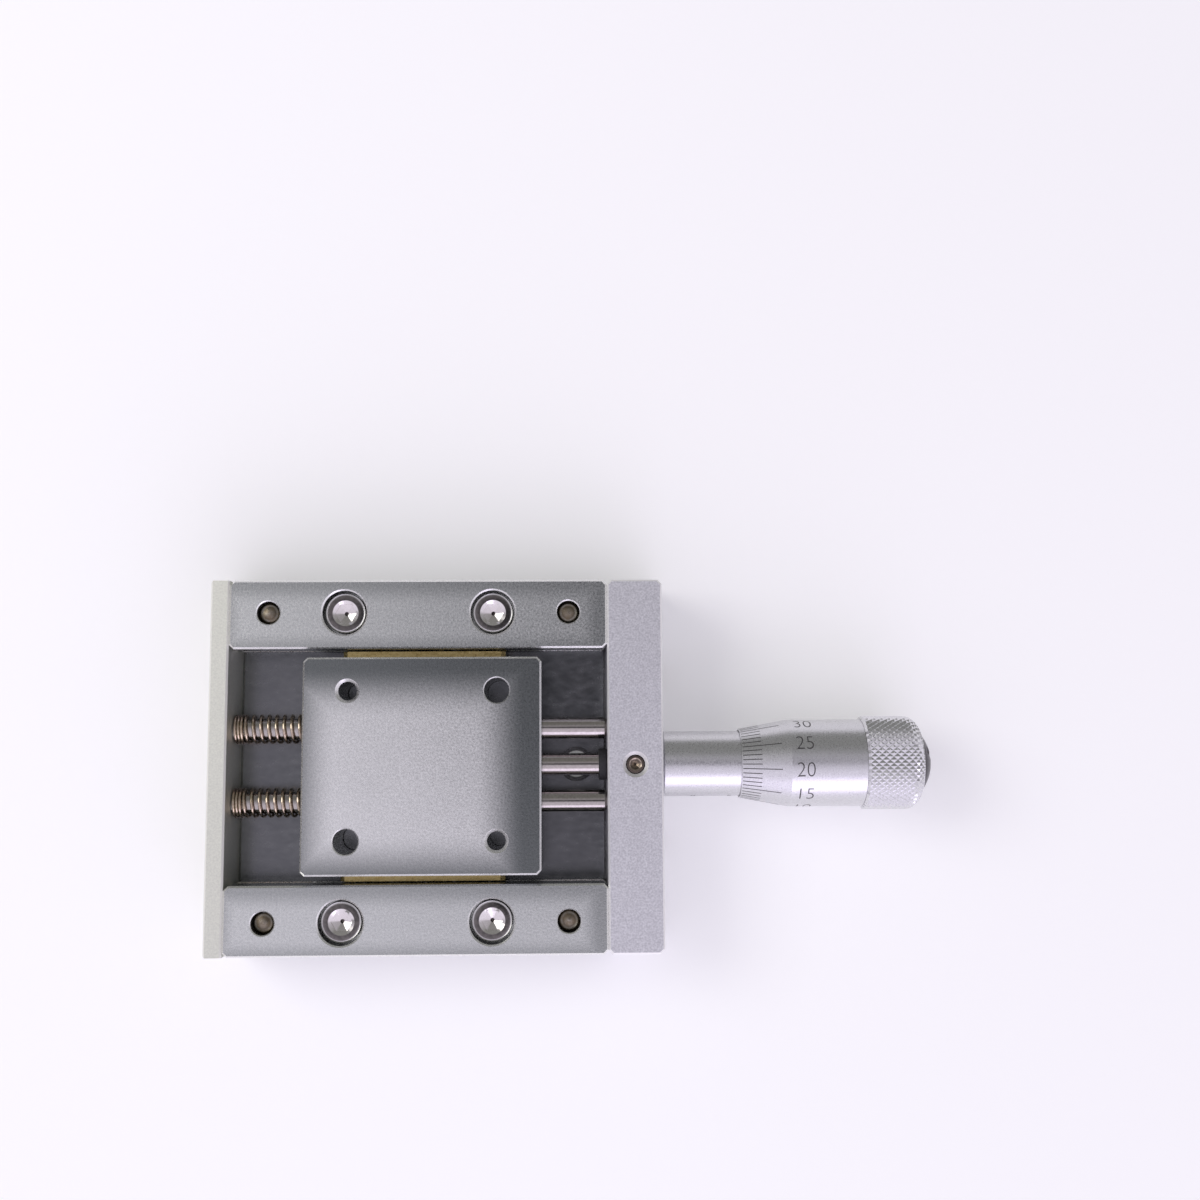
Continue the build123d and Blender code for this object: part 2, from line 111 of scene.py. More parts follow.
def addBump(tree, shader, height, depth):
    bump = addNode(tree, "ShaderNodeBump")
    bump.inputs["Strength"].default_value = 1.0
    bump.inputs["Distance"].default_value = depth
    tree.links.new(height, bump.inputs["Height"])
    tree.links.new(bump.outputs["Normal"], shader.inputs["Normal"])


# 1 along the edges of a flat piece and 0 further in than width, from Object coordinates: the mask of the
# painted shade on the nickel pieces.
def edgeDistance(tree, centre, half, width):
    coords = addNode(tree, "ShaderNodeTexCoord")
    offset = addNode(tree, "ShaderNodeVectorMath", operation="SUBTRACT")
    offset.inputs[1].default_value = centre
    size = addNode(tree, "ShaderNodeVectorMath", operation="ABSOLUTE")
    inside = addNode(tree, "ShaderNodeVectorMath", operation="SUBTRACT")
    inside.inputs[0].default_value = half
    split = addNode(tree, "ShaderNodeSeparateXYZ")
    nearest = addNode(tree, "ShaderNodeMath", operation="MINIMUM")
    tree.links.new(coords.outputs["Object"], offset.inputs[0])
    tree.links.new(offset.outputs[0], size.inputs[0])
    tree.links.new(size.outputs[0], inside.inputs[1])
    tree.links.new(inside.outputs[0], split.inputs[0])
    tree.links.new(split.outputs["X"], nearest.inputs[0])
    tree.links.new(split.outputs["Y"], nearest.inputs[1])
    return remap(tree, nearest.outputs[0], 0, width, 1, 0, "SMOOTHSTEP")


# The upward part of a normal at which a cut bevel begins, and at which it ends in a flat face.
bevelLean = {"start": (0.55, 0.62), "end": (0.86, 0.94)}


# 1 on cut bevels and cones, which lean between the flat faces, and 0 on the faces: the mask of a painted
# highlight, picked by the way a face leans.
def bevelMask(tree):
    coords = addNode(tree, "ShaderNodeTexCoord")
    size = addNode(tree, "ShaderNodeVectorMath", operation="ABSOLUTE")
    split = addNode(tree, "ShaderNodeSeparateXYZ")
    tree.links.new(coords.outputs["Normal"], size.inputs[0])
    tree.links.new(size.outputs[0], split.inputs[0])
    leaning = remap(tree, split.outputs["Z"], *bevelLean["start"], 0, 1)
    flat = remap(tree, split.outputs["Z"], *bevelLean["end"], 1, 0)
    both = addNode(tree, "ShaderNodeMath", operation="MULTIPLY")
    tree.links.new(leaning, both.inputs[0])
    tree.links.new(flat, both.inputs[1])
    return both.outputs[0]


# Distance in plan from the nearest of the places that mirror centre about X and Y.
def ringDistance(tree, centre):
    coords = addNode(tree, "ShaderNodeTexCoord")
    size = addNode(tree, "ShaderNodeVectorMath", operation="ABSOLUTE")
    offset = addNode(tree, "ShaderNodeVectorMath", operation="SUBTRACT")
    offset.inputs[1].default_value = (*centre, 0)
    plan = addNode(tree, "ShaderNodeVectorMath", operation="MULTIPLY")
    plan.inputs[1].default_value = (1, 1, 0)
    reach = addNode(tree, "ShaderNodeVectorMath", operation="LENGTH")
    tree.links.new(coords.outputs["Object"], size.inputs[0])
    tree.links.new(size.outputs[0], offset.inputs[0])
    tree.links.new(offset.outputs[0], plan.inputs[0])
    tree.links.new(plan.outputs[0], reach.inputs[0])
    return reach.outputs["Value"]


# How much of the noise's range the tones are spread over: all of it would look flat.
spread = {"grain": (0.3, 0.7), "drift": (0.35, 0.65), "patch": (0.4, 0.6)}


# A turned steel face: tones in rings round each screw's axis, which paint highlights and shade on the
# head and in its socket over the steel's own colour, with fine turning marks and patches.
def turnedFace(name, settings):
    material, tree, shader = newMaterial(name)
    shader.inputs["Metallic"].default_value = 1.0
    reach = ringDistance(tree, settings["centre"])
    ramp = addNode(tree, "ShaderNodeValToRGB")
    paintedLightStops = settings["rings"]
    while len(ramp.color_ramp.elements) < len(paintedLightStops):
        ramp.color_ramp.elements.new(1.0)
    for element, (radius, colour) in zip(ramp.color_ramp.elements, paintedLightStops):
        element.position = radius / settings["radius"]
        element.color = (*colour, 1)
    tree.links.new(remap(tree, reach, 0, settings["radius"], 0, 1), ramp.inputs["Fac"])
    marks = addNode(tree, "ShaderNodeMath", operation="SINE")
    tree.links.new(remap(tree, reach, 0, settings["markPitch"], 0, full), marks.inputs[0])
    grain = objectNoise(tree, settings["grain"])
    mixed = addNode(tree, "ShaderNodeMath", operation="MULTIPLY")
    tree.links.new(marks.outputs[0], mixed.inputs[0])
    tree.links.new(grain, mixed.inputs[1])
    shade = remap(tree, mixed.outputs[0], -0.5, 0.5, settings["markDepth"], 0.0)
    colour = mixColour(tree, shade, ramp.outputs["Color"], settings["markColour"])
    patches = objectNoise(tree, settings["patch"], 2.0, 0.5)
    patches = remap(tree, patches, *spread["patch"], 0, settings["patchAmount"])
    colour = mixColour(tree, patches, colour, settings["patchColour"])
    tree.links.new(colour, shader.inputs["Base Color"])
    gloss = remap(tree, grain, *spread["grain"], *settings["roughness"])
    tree.links.new(gloss, shader.inputs["Roughness"])
    return material


bevelHighlightAmount = 0.75  # how far the painted highlight's colour covers a bevel's own
slowSize = 12 * mm


# A metal with grain in its colour, gloss and height, and slow drifts of tone.
def grainMetal(name, settings):
    material, tree, shader = newMaterial(name)
    shader.inputs["Metallic"].default_value = settings.get("metallic", 1.0)
    grain = objectNoise(tree, settings["grain"], 2.0, 0.6, settings.get("stretch", (1, 1, 1)))
    drift = objectNoise(tree, settings.get("drift", slowSize), 2.0, 0.5)
    tone = remap(tree, grain, *spread["grain"], 0, 1)
    colour = mixColour(tree, tone, settings["dark"], settings["light"])
    slow = remap(tree, drift, *spread["drift"], 0, settings["driftAmount"])
    colour = mixColour(tree, slow, colour, settings.get("driftColour", settings["dark"]))
    # Painted shade: the colour darkens towards the edges of the piece.
    if settings.get("outline"):
        outline = settings["outline"]
        edgeShade = edgeDistance(tree, outline["centre"], outline["half"], outline["width"])
        edgeShade = remap(tree, edgeShade, 0, 1, 0, outline["amount"])
        colour = mixColour(tree, edgeShade, colour, outline["colour"])
    # Painted highlight: a bright colour on the leaning bevels and cones.
    if settings.get("bevelHighlight"):
        bevelGlint = remap(tree, bevelMask(tree), 0, 1, 0, bevelHighlightAmount)
        colour = mixColour(tree, bevelGlint, colour, settings["bevelHighlight"])
    tree.links.new(colour, shader.inputs["Base Color"])
    gloss = remap(tree, grain, *spread["grain"], *settings["roughness"])
    tree.links.new(gloss, shader.inputs["Roughness"])
    if settings.get("bump"):
        addBump(tree, shader, grain, settings["bump"])
    return material


print("materials")
nickel = {
    "grain": 0.26 * mm, "roughness": (0.22, 0.32), "bump": 0.008 * mm, "driftAmount": 0.12,
    # The bright colour on the bevels is a painted highlight.
    "driftColour": (0.60, 0.62, 0.60), "drift": 9 * mm, "bevelHighlight": (0.97, 0.97, 0.94),
    # The next entry is the colour of the painted shade at the edges of a piece.
    "paintedShadeColour": (0.13, 0.145, 0.145),
}
# The last three entries of each tone set the painted shade. The carriage's copy is lighter than the
# rails' and its painted shade reaches further in, so its middle is a painted reflection of the light.
railTone = {
    "dark": (0.58, 0.60, 0.58), "light": (0.76, 0.78, 0.755),
    "paintedShadeWidth": 3.0 * mm, "paintedShadeAmount": 0.45, "paintedShadeShift": (-1.0 * mm, -0.5 * mm, 0),
}
carriageTone = {
    "dark": (0.76, 0.77, 0.75), "light": (0.95, 0.96, 0.94),
    "paintedShadeWidth": 7.0 * mm, "paintedShadeAmount": 0.92, "paintedShadeShift": (-2.2 * mm, -1.4 * mm, 0),
}


# Tumbled nickel with painted shade: darker towards the edges of a piece, round a lighter middle, shifted
# off centre, that stands for a painted reflection of the light.
def nickelFor(node, tone):
    low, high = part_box(node)
    outline = {
        "centre": (low + high) / 2 + Vector(tone["paintedShadeShift"]), "half": (high - low) / 2,
        "width": tone["paintedShadeWidth"], "amount": tone["paintedShadeAmount"], "colour": nickel["paintedShadeColour"],
    }
    shades = {"dark": tone["dark"], "light": tone["light"], "outline": outline}
    return grainMetal(f"satinNickelPaintedShade_{node}", {**nickel, **shades})


blasted = {
    "grain": 0.24 * mm, "roughness": (0.46, 0.58), "bump": 0.008 * mm, "driftAmount": 0.10,
}
# Two copies of one blasted metal: the end plate's cream cast is painted warm light.
endPlatePaintedWarmLight = grainMetal("endPlatePaintedWarmLight", {
    # Its bevels take a painted highlight.
    **blasted, "dark": (0.66, 0.67, 0.60), "light": (0.78, 0.79, 0.71), "bevelHighlight": (0.90, 0.90, 0.84),
})
# The block's lavender cast is painted lavender light.
blockPaintedLavenderLight = grainMetal("blockPaintedLavenderLight", {
    # Its bevels take a painted highlight.
    **blasted, "dark": (0.56, 0.56, 0.585), "light": (0.80, 0.80, 0.825), "bevelHighlight": (0.95, 0.95, 0.92),
})
# The ground base plate: dark metal, made darker still as painted shade where it lies between the rails.
groundFloorPaintedShade = grainMetal("groundFloorPaintedShade", {
    "dark": (0.13, 0.135, 0.14), "light": (0.18, 0.185, 0.19), "grain": 0.8 * mm,
    "stretch": (0.5, 1, 1), "roughness": (0.22, 0.28), "driftAmount": 0.4,
    # The lighter colour on its bevels is a painted highlight.
    "driftColour": (0.21, 0.21, 0.22), "bevelHighlight": (0.50, 0.50, 0.50),
})
# Polished steel, darker than bare steel as painted shade for the rods that lie in shadow inside the
# springs; the spindle, the rollers and the anvil share it.
polishedSteelPaintedShade = grainMetal("polishedSteelPaintedShade", {
    "dark": (0.38, 0.35, 0.33), "light": (0.52, 0.49, 0.46), "grain": 0.4 * mm,
    "stretch": (4, 1, 1), "roughness": (0.10, 0.18), "driftAmount": 0.06,
})
screwSteel = grainMetal("screwSteel", {
    "dark": (0.56, 0.54, 0.53), "light": (0.76, 0.74, 0.72), "grain": 0.3 * mm,
    "roughness": (0.14, 0.24), "driftAmount": 0.1,
})
springSteel = grainMetal("springSteel", {
    "dark": (0.42, 0.34, 0.24), "light": (0.70, 0.60, 0.46), "grain": 0.35 * mm,
    "roughness": (0.16, 0.28), "driftAmount": 0.35, "driftColour": (0.50, 0.37, 0.36), "drift": 1.2 * mm,
})
cageBrass = grainMetal("cageBrass", {
    "dark": (0.36, 0.27, 0.10), "light": (0.74, 0.60, 0.28), "grain": 0.35 * mm,
    "stretch": (0.5, 1, 1), "roughness": (0.22, 0.40), "bump": 0.02 * mm, "driftAmount": 0.3,
})
satinChrome = grainMetal("satinChrome", {
    "dark": (0.60, 0.60, 0.61), "light": (0.74, 0.74, 0.75), "grain": 0.2 * mm,
    "roughness": (0.26, 0.34), "bump": 0.006 * mm, "driftAmount": 0.06,
})
brightChrome = grainMetal("brightChrome", {
    "dark": (0.66, 0.66, 0.67), "light": (0.80, 0.80, 0.81), "grain": 0.25 * mm,
    "roughness": (0.14, 0.22), "driftAmount": 0.06,
})
blackOxide = grainMetal("blackOxide", {
    "dark": (0.030, 0.027, 0.032), "light": (0.060, 0.054, 0.062), "grain": 0.3 * mm,
    "roughness": (0.22, 0.34), "metallic": 0.6, "driftAmount": 0.1,
})
sealRubber = grainMetal("sealRubber", {
    "dark": (0.012, 0.012, 0.013), "light": (0.030, 0.030, 0.032), "grain": 0.3 * mm,
    "roughness": (0.55, 0.70), "metallic": 0.0, "driftAmount": 0.0,
})
inkBlack = grainMetal("inkBlack", {
    "dark": (0.030, 0.028, 0.030), "light": (0.075, 0.070, 0.072), "grain": 0.15 * mm,
    "roughness": (0.45, 0.60), "metallic": 0.0, "driftAmount": 0.0,
})


# Mesh helpers

sharpAngle = 25


# Bevels the sharp edges of a piece.
def roundEdges(bm, width, segments=2):
    limit = math.radians(sharpAngle)
    sharp = [e for e in bm.edges if e.is_manifold and e.calc_face_angle(0) > limit]
    bmesh.ops.bevel(bm, geom=sharp, offset=width, offset_type="OFFSET", segments=segments,
                    profile=0.5, affect="EDGES", clamp_overlap=True, material=-1)


def makePiece(name, bm, body, material, replaced=(), smoothAngle=35):
    mesh = bpy.data.meshes.new(name)
    bm.to_mesh(mesh)
    bm.free()
    mesh.shade_smooth()
    mesh.set_sharp_from_angle(angle=math.radians(smoothAngle))
    mesh.materials.append(material)
    piece = bpy.data.objects.new(name, mesh)
    bpy.context.scene.collection.objects.link(piece)
    if body:
        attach(piece, body)
    if replaced:
        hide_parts(*replaced)
    return piece


# Spins (x, radius) points about the drive axis, or one beside it.
def turned(points, steps=96, closed=True, y=0.0):
    bm = bmesh.new()
    verts = [bm.verts.new((x, y, axisZ + r)) for x, r in points]
    ends = verts[1:] + verts[:1] if closed else verts[1:]
    for a, b in zip(verts, ends):
        bm.edges.new((a, b))
    bmesh.ops.spin(bm, geom=bm.verts[:] + bm.edges[:], cent=(0, y, axisZ), axis=(1, 0, 0),
                   dvec=(0, 0, 0), angle=full, steps=steps, use_merge=True,
                   use_normal_flip=False, use_duplicate=False)
    bmesh.ops.remove_doubles(bm, verts=bm.verts, dist=weld)
    bmesh.ops.recalc_face_normals(bm, faces=bm.faces)
    return bm


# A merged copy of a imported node's mesh, with its sharp edges rounded where edge is given.
def smoothCopy(node, name, body, material, edge=0.0):
    bm = bmesh.new()
    bm.from_mesh(nodes[node].data)
    bmesh.ops.remove_doubles(bm, verts=bm.verts, dist=weld)
    if edge:
        flatAngle = math.radians(1)
        bmesh.ops.dissolve_limit(bm, angle_limit=flatAngle, verts=bm.verts, edges=bm.edges)
        roundEdges(bm, edge)
    return makePiece(name, bm, body, material, [node])


def dress(node, material):
    nodes[node].data.materials.clear()
    nodes[node].data.materials.append(material)


print("frame, carriage and ways")
for side in sides:
    dress(f"rail_{side}", nickelFor(f"rail_{side}", railTone))
dress("carriage", nickelFor("carriage", carriageTone))
dress("end_plate", endPlatePaintedWarmLight)
dress("micrometer_block", blockPaintedLavenderLight)
dress("base_plate", groundFloorPaintedShade)
for side in sides:
    dress(f"cage_{side}", cageBrass)
    smoothCopy(f"rollers_{side}", f"roller_set_{side}", f"cage_{side}_body",
               polishedSteelPaintedShade)
dress("anvil", polishedSteelPaintedShade)
dress("adjusting_nut", screwSteel)


print("guide rods and return springs")
rod = {"endBreak": 0.3 * mm, "spigot": 1.1 * mm, "gap": 0.02 * mm, "steps": 64}
for side in sides:
    low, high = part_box(f"guide_rod_{side}")
    y, radius = (low.y + high.y) / 2, (high.y - low.y) / 2
    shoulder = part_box("micrometer_block")[0].x - rod["gap"]
    points = [
        (low.x, 0), (low.x, radius), (shoulder - rod["endBreak"], radius),
        (shoulder, radius - rod["endBreak"]), (shoulder, rod["spigot"]),
        (high.x, rod["spigot"]), (high.x, 0),
    ]
    bm = turned(points, rod["steps"], closed=False, y=y)
    makePiece(f"rod_{side}", bm, "frame_body", polishedSteelPaintedShade, [f"guide_rod_{side}"])

spring = {
    "wire": 0.4 * mm, "closedPitch": 0.43 * mm, "closedLeft": 3, "closedRight": 2, "openTurns": 10,
    "stepsPerTurn": 40, "wireSides": 10,
}
for side in sides:
    low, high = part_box(f"return_spring_{side}")
    y = (low.y + high.y) / 2
    coilRadius = (high.y - low.y - spring["wire"]) / 2
    start, end = low.x + spring["wire"] / 2, high.x - spring["wire"] / 2
    closedLeft = spring["closedLeft"] * spring["closedPitch"]
    closedRight = spring["closedRight"] * spring["closedPitch"]
    openPitch = (end - start - closedLeft - closedRight) / spring["openTurns"]
    stretches = [(spring["closedLeft"], spring["closedPitch"]), (spring["openTurns"], openPitch),
                 (spring["closedRight"], spring["closedPitch"])]
    bm = bmesh.new()
    bmesh.ops.create_circle(bm, cap_ends=False, segments=spring["wireSides"],
                            radius=spring["wire"] / 2,
                            matrix=Matrix.Translation((start, y + coilRadius, axisZ)))
    ring = bm.verts[:] + bm.edges[:]
    for turns, pitch in stretches:
        steps = turns * spring["stepsPerTurn"]
        spun = bmesh.ops.spin(bm, geom=ring, cent=(0, y, axisZ), axis=(1, 0, 0),
                              dvec=(pitch / spring["stepsPerTurn"], 0, 0), angle=full * turns,
                              steps=steps, use_merge=False, use_normal_flip=False,
                              use_duplicate=False)
        ring = [g for g in spun["geom_last"] if not isinstance(g, bmesh.types.BMFace)]
    bmesh.ops.holes_fill(bm, edges=[e for e in bm.edges if e.is_boundary], sides=0)
    bmesh.ops.recalc_face_normals(bm, faces=bm.faces)
    piece = makePiece(f"spring_{side}", bm, None, springSteel,
                      [f"return_spring_{side}"])
    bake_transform(piece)


print("micrometer head")
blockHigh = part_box("micrometer_block")[1]
sleeveLow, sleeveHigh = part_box("micrometer_sleeve")
thimbleLow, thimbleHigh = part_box("thimble")
gripLow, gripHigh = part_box("grip")
sealLow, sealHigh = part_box("spindle_seal")
sleeve = {
    "shank": 2.5 * mm, "radius": (sleeveHigh.z - sleeveLow.z) / 2, "guide": 1.55 * mm,
    "screwBore": 2.6 * mm, "guideLength": 12 * mm, "landLength": 3.3 * mm, "land": 3.7 * mm,
    "edge": 0.25 * mm, "seat": 0.02 * mm,
}
sleeveStart = blockHigh.x + sleeve["seat"]
landStart = sleeveHigh.x - sleeve["landLength"]
guideEnd = sleeveLow.x + sleeve["guideLength"]
bm = turned([
    (sleeveLow.x, sleeve["guide"]), (sleeveLow.x, sleeve["shank"]), (sleeveStart, sleeve["shank"]),
    (sleeveStart, sleeve["radius"] - sleeve["edge"]), (sleeveStart + sleeve["edge"], sleeve["radius"]),
    (landStart, sleeve["radius"]), (landStart, sleeve["land"]), (sleeveHigh.x, sleeve["land"]),
    (sleeveHigh.x, sleeve["screwBore"]), (guideEnd, sleeve["screwBore"]), (guideEnd, sleeve["guide"]),
])
makePiece("sleeve", bm, "frame_body", satinChrome, ["micrometer_sleeve"])

collar = {"edge": 0.2 * mm, "radius": (sealHigh.z - sealLow.z) / 2, "steps": 64}
bm = turned([
    (sealLow.x, sleeve["guide"]), (sealLow.x, collar["radius"]),
    (sealHigh.x, collar["radius"]), (sealHigh.x, sleeve["guide"]),
], collar["steps"])
roundEdges(bm, collar["edge"], segments=3)
makePiece("seal_ring", bm, "frame_body", sealRubber, ["spindle_seal"])

thimble = {
    "bore": 4.55 * mm, "lip": 0.15 * mm, "cone": 6.6 * mm, "spigot": 5.2 * mm, "seat": 0.02 * mm,
    "radius": (thimbleHigh.z - thimbleLow.z) / 2, "steps": 160, "smoothAngle": 8,
}
lipRadius = thimble["bore"] + thimble["lip"]
coneEnd = thimbleLow.x + thimble["cone"]
thimbleEnd = gripLow.x - thimble["seat"]
bm = turned([
    (thimbleLow.x, thimble["bore"]), (thimbleLow.x, lipRadius), (coneEnd, thimble["radius"]),
    (thimbleEnd, thimble["radius"]), (thimbleEnd, thimble["spigot"]),
    (thimbleHigh.x, thimble["spigot"]), (thimbleHigh.x, thimble["bore"]),
], thimble["steps"])
makePiece("thimble_body_turned", bm, "thimble_body", satinChrome, ["thimble"],
          thimble["smoothAngle"])

spindle = {
    "radius": 1.5 * mm, "screwRadius": 2.5 * mm, "screwInSleeve": 9.5 * mm, "endRadius": 2 * mm,
    "tipBreak": 0.3 * mm, "steps": 64,
}
screwStart = sleeveHigh.x - spindle["screwInSleeve"]
taperStart = thimbleHigh.x + thimble["seat"]
bm = turned([
    (spindleLow.x, 0), (spindleLow.x, spindle["radius"] - spindle["tipBreak"]),
    (spindleLow.x + spindle["tipBreak"], spindle["radius"]), (screwStart, spindle["radius"]),
    (screwStart, spindle["screwRadius"]), (taperStart, spindle["screwRadius"]),
    (spindleHigh.x, spindle["endRadius"]), (spindleHigh.x, 0),
], spindle["steps"], closed=False)
makePiece("spindle_ground", bm, "thimble_body", polishedSteelPaintedShade, ["spindle"])

cap = {"edge": 0.06 * mm}
smoothCopy("thimble_cap", "end_cap", "thimble_body", blackOxide, cap["edge"])


# Knurled grip: a flat sheet of four sided points, bent round the grip and over its rounded end.
grip = {
    "around": 46, "pitch": 1.02 * mm, "height": 0.20 * mm, "round": 2.05 * mm, "knurlOnRound": 0.72,
    "frontBreak": 0.3 * mm, "radius": (gripHigh.z - gripLow.z) / 2, "spigotBore": 5.22 * mm,
    "mouth": 2 * mm, "cavity": 2.52 * mm, "stud": 1.3 * mm, "roundSteps": 6, "smoothAngle": 12,
    "seam": 0.002 * mm, "nearLine": 0.001 * mm, "spareCells": 4,
}
circumference = full * grip["radius"]
straightReach = gripHigh.x - gripLow.x - grip["frontBreak"] - grip["round"]


# The place, radius and lean of the grip's surface, at a reach along it from its front break.
def gripProfile(reach):
    if reach <= straightReach:
        return gripLow.x + grip["frontBreak"] + reach, grip["radius"], 0.0
    angle = (reach - straightReach) / grip["round"]
    x = gripHigh.x - grip["round"] + grip["round"] * math.sin(angle)
    return x, grip["radius"] - grip["round"] * (1 - math.cos(angle)), angle


knurlReach = straightReach + grip["round"] * grip["knurlOnRound"] * math.pi / 2
halfAround = circumference / grip["around"] / 2
halfAlong = grip["pitch"] / 2
cells = grip["around"] + 2 * math.ceil(knurlReach / grip["pitch"]) + grip["spareCells"]
bm = bmesh.new()
bmesh.ops.create_grid(bm, x_segments=cells, y_segments=cells, size=cells / 2,
                      matrix=Matrix.Rotation(math.radians(45), 4, "Z"))
diagonal = math.sqrt(2)
bmesh.ops.scale(bm, vec=(halfAlong * diagonal, halfAround * diagonal, 1), verts=bm.verts)
bmesh.ops.poke(bm, faces=bm.faces, offset=grip["height"], center_mode="MEAN")
cuts = [((0, 0, 0), (-1, 0, 0)), ((knurlReach, 0, 0), (1, 0, 0)),
        ((0, -circumference / 2, 0), (0, -1, 0)), ((0, circumference / 2, 0), (0, 1, 0))]
for point, outward in cuts:
    bmesh.ops.bisect_plane(bm, geom=bm.verts[:] + bm.edges[:] + bm.faces[:], dist=cutSlack,
                           plane_co=point, plane_no=outward, clear_outer=True, clear_inner=False)


# The edges of the flat sheet that lie on one of its ends.
def edgesAt(reach):
    return [e for e in bm.edges if all(abs(v.co.x - reach) < grip["nearLine"] for v in e.verts)]


frontEdges, rearEdges = edgesAt(0), edgesAt(knurlReach)
for vert in bm.verts:
    x, radius, angle = gripProfile(vert.co.x)
    lift = vert.co.z - grip["height"]
    vert.co.x = x + lift * math.sin(angle)
    vert.co.z = radius + lift * math.cos(angle)
frontRings = [
    (gripLow.x, grip["radius"] - grip["frontBreak"] - grip["height"] / 2),
    (gripLow.x, grip["spigotBore"]), (gripLow.x + grip["mouth"], grip["spigotBore"]),
    (gripLow.x + grip["mouth"], grip["cavity"]),
]
smoothStep = (straightReach + grip["round"] * math.pi / 2 - knurlReach) / grip["roundSteps"]
rearRings = [gripProfile(knurlReach + smoothStep * (i + 1))[:2] for i in range(grip["roundSteps"])]
rearRings += [(gripHigh.x, grip["stud"])]
for edges, rings in ((frontEdges, frontRings), (rearEdges, rearRings)):
    for x, radius in rings:
        grown = bmesh.ops.extrude_edge_only(bm, edges=edges)["geom"]
        edges = [g for g in grown if isinstance(g, bmesh.types.BMEdge)]
        for vert in {v for e in edges for v in e.verts}:
            vert.co.x, vert.co.z = x, radius
    if rings is frontRings:
        frontLast = edges
bmesh.ops.bridge_loops(bm, edges=frontLast + edges)
for vert in bm.verts:
    turn = vert.co.y / grip["radius"]
    vert.co = (vert.co.x, vert.co.z * math.sin(turn), axisZ + vert.co.z * math.cos(turn))
bmesh.ops.remove_doubles(bm, verts=bm.verts, dist=grip["seam"])
bmesh.ops.recalc_face_normals(bm, faces=bm.faces)
makePiece("knurled_grip", bm, "thimble_body", brightChrome, ["grip"],
          grip["smoothAngle"])


print("graduations")
scale = {
    "divisions": 50, "numbered": 5, "atTop": 21.1, "shortTick": 2.55 * mm, "longTick": 5.2 * mm,
    "tickStart": 0.12 * mm, "tickWidth": 0.12 * mm, "lift": 0.006 * mm, "markStep": 0.6 * mm,
    "numberGap": 0.55 * mm, "digitHeight": 1.95 * mm, "digitWidth": 0.92, "digitSlices": 12,
    "strokeThin": -0.018,
}
coneSlope = (thimble["radius"] - lipRadius) / thimble["cone"]


def surfaceRadius(x):
    if x < thimbleLow.x:
        return sleeve["radius"]
    return min(thimble["radius"], lipRadius + (x - thimbleLow.x) * coneSlope)


# Bends flat marks, drawn with x along the axis and y round it, onto the turned surface.
def wrapMarks(bm, angle):
    for vert in bm.verts:
        radius = surfaceRadius(vert.co.x)
        turn = angle + vert.co.y / radius
        radius += scale["lift"]
        vert.co = (vert.co.x, radius * math.sin(turn), axisZ + radius * math.cos(turn))


def addMark(bm, x, y, length, width, angle):
    part = bmesh.new()
    pieces = max(1, round(length / scale["markStep"]))
    bmesh.ops.create_grid(part, x_segments=pieces, y_segments=2, size=0.5)
    bmesh.ops.scale(part, vec=(length, width, 1), verts=part.verts)
    bmesh.ops.translate(part, vec=(x + length / 2, y, 0), verts=part.verts)
    wrapMarks(part, angle)
    mesh = bpy.data.meshes.new("mark")
    part.to_mesh(mesh)
    part.free()
    bm.from_mesh(mesh)
    bpy.data.meshes.remove(mesh)


# Adds a number that reads along the axis, with its feet towards the smaller angles.
def addNumber(bm, text, x, height, angle):
    curve = bpy.data.curves.new("number", "FONT")
    curve.body, curve.size, curve.offset = text, 1.0, scale["strokeThin"]
    curve.align_x, curve.align_y = "LEFT", "CENTER"
    holder = bpy.data.objects.new("number", curve)
    bpy.context.scene.collection.objects.link(holder)
    mesh = bpy.data.meshes.new_from_object(holder)
    part = bmesh.new()
    part.from_mesh(mesh)
    lowY, highY = min(v.co.y for v in part.verts), max(v.co.y for v in part.verts)
    size = height / (highY - lowY)
    middle = (lowY + highY) / 2
    bmesh.ops.translate(part, vec=(0, -middle, 0), verts=part.verts)
    bmesh.ops.scale(part, vec=(size * scale["digitWidth"], size, size), verts=part.verts)
    for i in range(1, scale["digitSlices"]):
        cutY = height * (i / scale["digitSlices"] - 0.5)
        bmesh.ops.bisect_plane(part, geom=part.verts[:] + part.edges[:] + part.faces[:],
                               dist=cutSlack, plane_co=(0, cutY, 0), plane_no=(0, 1, 0))
    bmesh.ops.translate(part, vec=(x, 0, 0), verts=part.verts)
    wrapMarks(part, angle)
    part.to_mesh(mesh)
    part.free()
    bm.from_mesh(mesh)
    bpy.data.meshes.remove(mesh)
    bpy.data.objects.remove(holder)
    bpy.data.curves.remove(curve)


bm = bmesh.new()
for number in range(scale["divisions"]):
    angle = math.radians((number - scale["atTop"]) * 360 / scale["divisions"])
    long = number % scale["numbered"] == 0
    length = scale["longTick"] if long else scale["shortTick"]
    addMark(bm, thimbleLow.x + scale["tickStart"], 0, length, scale["tickWidth"], angle)
    if long:
        addNumber(bm, str(number), coneEnd + scale["numberGap"], scale["digitHeight"], angle)
makePiece("thimble_graduations", bm, "thimble_body", inkBlack)

